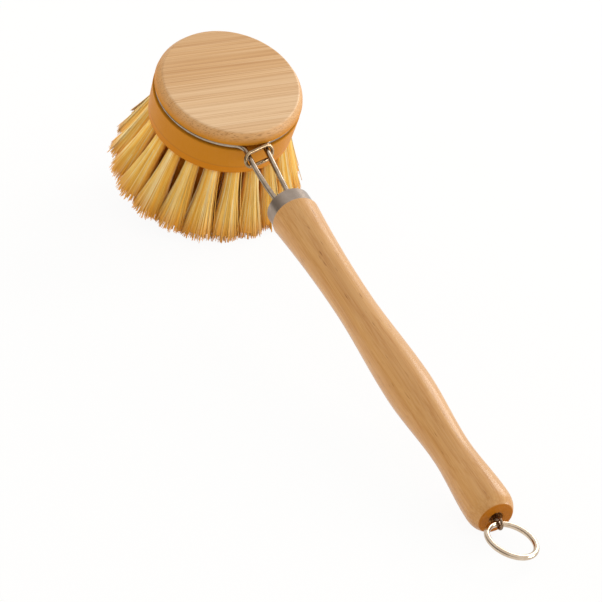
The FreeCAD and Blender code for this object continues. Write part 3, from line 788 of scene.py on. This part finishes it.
full_reach = calc(tuft_tree, "MULTIPLY", tuft_inputs["Length"], recalled("reach"))
full_reach = calc(tuft_tree, "ADD", full_reach, tuft_inputs["Root Depth"])
depth = calc(tuft_tree, "MULTIPLY", along, full_reach)
depth = calc(tuft_tree, "SUBTRACT", depth, tuft_inputs["Root Depth"])
sway = calc(tuft_tree, "POWER", along, WANDER_POWER)
sway = calc(tuft_tree, "MULTIPLY", sway, tuft_inputs["Wander"])
place = recalled("mouth", "FLOAT_VECTOR")
for step in (
    scaled(lean_way, depth),
    scaled(lean_side, shifted("X", side_spread)),
    scaled(lean_cross, shifted("Y", spread)),
    scaled(recalled("wander", "FLOAT_VECTOR"), sway),
):
    place = vector_calc(tuft_tree, "ADD", place, step)
place = vector_calc(tuft_tree, "MAXIMUM", place, LOWEST)
fibres = add(tuft_tree, "GeometryNodeSetPosition", {"Geometry": out(fibres), "Position": place})
fibres = noted(out(fibres), "fibre_along", along)
# Place across the bundle, for the painted shade on the sides of the tufts
fibres = noted(fibres, "fibre_ridge", out(split_offset, "Y"))

# A fibre is shaded partly as the round bundle that it belongs to
fibres = out(add(tuft_tree, "GeometryNodeSetShadeSmooth", {"Geometry": fibres}))
bundle_side = scaled(lean_side, out(split_offset, "X"))
bundle_cross = scaled(lean_cross, out(split_offset, "Y"))
bundle_way = vector_calc(tuft_tree, "ADD", bundle_side, bundle_cross)
bundle_share = scaled(bundle_way, tuft_inputs["Bundle Shading"])
own_normal = out(add(tuft_tree, "GeometryNodeInputNormal"), "Normal")
soft_normal = vector_calc(tuft_tree, "ADD", own_normal, bundle_share)
soft_normal = vector_calc(tuft_tree, "NORMALIZE", soft_normal)
shading = {"Mesh": fibres, "Custom Normal": soft_normal}
fibres = out(add(tuft_tree, "GeometryNodeSetMeshNormal", shading, mode="FREE", domain="POINT"))
dressing = {"Geometry": fibres, "Material": tuft_inputs["Material"]}
fibres = out(add(tuft_tree, "GeometryNodeSetMaterial", dressing))
fill(tuft_tree, tuft_out, {"Tufts": fibres})

STRAW_PALE = paint(255, 236, 180)
STRAW_TONE = paint(254, 210, 102)
STRAW_BROWN = paint(244, 178, 54)
STRAW_ROOT_SHADE_AND_TIP = paint(236, 150, 10)
# Painted shade: the colour of the inner rows, and of the sides of the tufts that face each other
STRAW_PAINTED_SHADE = paint(252, 152, 0)
STRAW_SHEEN = paint(255, 240, 214)
STRAW_CLOUD_WIDTH = 1.2
STRAW_CLOUD_LENGTH = 4.0
straw_fibre, straw, straw_shader = finish_of("straw_fibre")
straw_tone = out(add(straw, "ShaderNodeAttribute", attribute_name="fibre_tone"), "Fac")
straw_along = out(add(straw, "ShaderNodeAttribute", attribute_name="fibre_along"), "Fac")
straw_ridge = out(add(straw, "ShaderNodeAttribute", attribute_name="fibre_ridge"), "Fac")
straw_room = stretched(straw, own_place(straw, HEAD_CENTRE), STRAW_CLOUD_WIDTH, STRAW_CLOUD_LENGTH)
straw_cloud = noise(straw, straw_room, detail=2.0)
straw_colour = layered(
    straw,
    STRAW_PAINTED_SHADE,
    (ranged(straw, straw_tone, start=-0.6, end=0.0), STRAW_BROWN),
    (ranged(straw, straw_tone, start=0.0, end=0.45), STRAW_TONE),
    (ranged(straw, straw_tone, start=0.45, end=1.0), STRAW_PALE),
    # Painted shade on the sides of each tuft that face its neighbours
    (ranged(straw, straw_ridge, start=0.45, end=-0.35, to_end=0.7), STRAW_PAINTED_SHADE),
    (ranged(straw, straw_cloud, start=0.35, end=0.65, to_end=0.25), STRAW_BROWN),
    # Painted shade at the roots, crowded under the head, then a darker tone towards the tips
    (ranged(straw, straw_along, start=0.16, end=0.02, to_end=0.5), STRAW_ROOT_SHADE_AND_TIP),
    (ranged(straw, straw_along, start=0.7, end=1.0, to_end=0.7), STRAW_ROOT_SHADE_AND_TIP),
)
fill(
    straw,
    straw_shader,
    {
        "Base Color": straw_colour,
        "Roughness": ranged(straw, straw_tone, 0, 1, to_start=0.62, to_end=0.45),
        "Specular IOR Level": 0.35,
        "Sheen Weight": 0.35,
        "Sheen Roughness": 0.4,
        "Sheen Tint": STRAW_SHEEN,
    },
)

draw = random.Random(TUFT_SEED)
for row, (row_name, count, share, tip_radius, fibre_count, tone_shift) in enumerate(TUFT_ROWS):
    tufts = tuft_mouths(f"tufts_{row_name}", count, share, draw)
    modifier = tufts.modifiers.new("fanned_tufts", "NODES")
    modifier.node_group = tuft_tree
    wanted = {
        "Fibres": fibre_count,
        "Tip Radius": tip_radius * MM,
        "Tone Shift": tone_shift,
        "Seed": TUFT_SEED + ROW_SEED_STEP * row,
        "Material": straw_fibre,
    }
    for item in tuft_tree.interface.items_tree:
        if item.in_out == "INPUT" and item.name in wanted:
            modifier[item.identifier] = wanted[item.name]
    graph = bpy.context.evaluated_depsgraph_get()
    grown = tufts.evaluated_get(graph)
    formed = bpy.data.meshes.new_from_object(grown, preserve_all_data_layers=True, depsgraph=graph)
    tufts.modifiers.remove(modifier)
    tufts.data = formed
    for label in ("section", "mouth", "offset", "reach", "wander", "lean_way", "lean_side"):
        formed.attributes.remove(formed.attributes[label])
    stood_for = [f"tuft_{row_name}_{number:02d}" for number in range(1, count + 1)]
    if count == 1:
        stood_for = [f"tuft_{row_name}"]
    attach(tufts, "head")
    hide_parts(*stood_for)

# Screw eye. A small plated eye, bent from wire with a thread rolled on its shank.
# It is screwed into the drilled tail of the handle and carries the hang ring.
eye_steel = steel_finish(
    "eye_steel",
    tone=paint(150, 126, 102),
    dull=paint(120, 98, 78),
    roughness=(0.28, 0.42),
    haze_size=1.2,
    scuff_size=0.12,
)
dressed("screw_eye", eye_steel)

# Hang ring. A ring of polished steel wire, bent round and closed.
# It hangs loose in the screw eye, for a hook.
ring_steel = steel_finish(
    "ring_steel",
    tone=paint(218, 200, 178),
    dull=paint(194, 172, 148),
    roughness=(0.06, 0.12),
    haze_size=2.0,
    scuff_size=0.15,
)
dressed("hang_ring", ring_steel)

# Studio. A white floor under the brush, a soft white room that is brighter on its right,
# and three softboxes: two on the right and a weaker one on the far left.
FLOOR_HALF = 3.0
FLOOR_TONE = (0.93, 0.88, 0.78, 1.0)
FLOOR_WHITE = (1.0, 1.0, 1.0, 1.0)
# How far the floor looks plain white to the camera and to polished surfaces, over the shadows on it
FLOOR_WHITENESS = 0.93
floor_mesh = bpy.data.meshes.new("floor")
floor_corners = [(x * FLOOR_HALF, y * FLOOR_HALF, 0) for x, y in ((-1, -1), (1, -1), (1, 1), (-1, 1))]
floor_mesh.from_pydata(floor_corners, [], [(0, 1, 2, 3)])
floor = bpy.data.objects.new("floor", floor_mesh)
bpy.context.collection.objects.link(floor)
white_floor = bpy.data.materials.new("white_floor")
white_floor.use_nodes = True
sweep = white_floor.node_tree
sweep.nodes.clear()
sweep_matt = out(add(sweep, "ShaderNodeBsdfDiffuse", {"Color": FLOOR_TONE}))
sweep_white = out(add(sweep, "ShaderNodeEmission", {"Color": FLOOR_WHITE, "Strength": 1.0}))
sweep_path = add(sweep, "ShaderNodeLightPath")
sweep_seen = calc(sweep, "MAXIMUM", out(sweep_path, "Is Camera Ray"), out(sweep_path, "Is Glossy Ray"))
sweep_seen = calc(sweep, "MAXIMUM", sweep_seen, out(sweep_path, "Is Transmission Ray"))
sweep_share = calc(sweep, "MULTIPLY", sweep_seen, FLOOR_WHITENESS)
sweep_mix = add(sweep, "ShaderNodeMixShader", {0: sweep_share, 1: sweep_matt, 2: sweep_white})
add(sweep, "ShaderNodeOutputMaterial", {"Surface": out(sweep_mix)})
floor_mesh.materials.append(white_floor)

world = bpy.data.worlds.new("white_room")
bpy.context.scene.world = world
world.use_nodes = True
room = world.node_tree
room.nodes.clear()
BRIGHT_SIDE = Vector((-0.1, 0.75, 0.65)).normalized()
ROOM_WHITE = (1.0, 1.0, 1.0, 1.0)
ROOM_WARM = (1.0, 0.92, 0.82, 1.0)
# Level of the room on its dim side and on its bright side, as metal and as matt surfaces meet it
ROOM_REFLECTED = (0.2, 1.0)
ROOM_SPREAD = (0.97, 0.8)
room_way = out(add(room, "ShaderNodeTexCoord"), "Generated")
room_turn = add(room, "ShaderNodeVectorMath", {0: room_way, 1: BRIGHT_SIDE}, operation="DOT_PRODUCT")
room_lit = ranged(room, out(room_turn, "Value"), start=-0.45, end=0.3)
room_path = add(room, "ShaderNodeLightPath")
room_seen = calc(room, "MAXIMUM", out(room_path, "Is Camera Ray"), out(room_path, "Is Transmission Ray"))
room_shone = ranged(room, room_lit, 0, 1, *ROOM_REFLECTED)
room_shone = calc(room, "MULTIPLY", out(room_path, "Is Glossy Ray"), room_shone)
room_spread = ranged(room, room_lit, 0, 1, *ROOM_SPREAD)
room_spread = calc(room, "MULTIPLY", out(room_path, "Is Diffuse Ray"), room_spread)
room_strength = calc(room, "MAXIMUM", calc(room, "MAXIMUM", room_shone, room_spread), room_seen)
room_colour = mixed(room, calc(room, "MAXIMUM", room_lit, room_seen), ROOM_WARM, ROOM_WHITE)
room_light = add(room, "ShaderNodeBackground", {"Color": room_colour, "Strength": room_strength})
add(room, "ShaderNodeOutputWorld", {"Surface": out(room_light)})

LAMP_AIM = Vector((-0.02, 0.0, 0.03))
# Softboxes: name, place, diameter, power, whether polished surfaces show it
LAMPS = (
    ("key_softbox", Vector((-0.35, 1.0, 0.6)), 0.8, 7.0, True),
    ("side_softbox", Vector((0.5, 0.95, 0.1)), 0.5, 5.5, True),
    ("back_softbox", Vector((-1.0, -0.4, 0.12)), 0.5, 3.5, False),
)
for lamp_name, lamp_place, diameter, power, is_shown in LAMPS:
    light = bpy.data.lights.new(lamp_name, "AREA")
    light.shape = "DISK"
    light.size = diameter
    light.energy = power
    lamp = bpy.data.objects.new(lamp_name, light)
    lamp.location = lamp_place
    lamp.rotation_mode = "QUATERNION"
    lamp.rotation_quaternion = (LAMP_AIM - lamp_place).to_track_quat("-Z", "Y")
    lamp.visible_glossy = is_shown
    bpy.context.collection.objects.link(lamp)

CAMERA_PLACE = Vector((0.57652, -0.31344, 0.40089))
CAMERA_AIM = Vector((-0.0179, 0.0, 0.00358))
CAMERA_ROLL = math.radians(5.248)
CAMERA_LENS = 149.5
CAMERA_SENSOR = 36.0
CAMERA_NEAREST = 0.01
lens = bpy.data.cameras.new("photo_camera")
lens.lens = CAMERA_LENS
lens.sensor_width = CAMERA_SENSOR
lens.clip_start = CAMERA_NEAREST
camera = bpy.data.objects.new("photo_camera", lens)
camera.location = CAMERA_PLACE
camera.rotation_mode = "QUATERNION"
camera_turn = (CAMERA_AIM - CAMERA_PLACE).to_track_quat("-Z", "Y")
camera.rotation_quaternion = camera_turn @ Quaternion((0, 0, 1), CAMERA_ROLL)
bpy.context.collection.objects.link(camera)
bpy.context.scene.camera = camera
bpy.context.scene.view_settings.view_transform = "Standard"
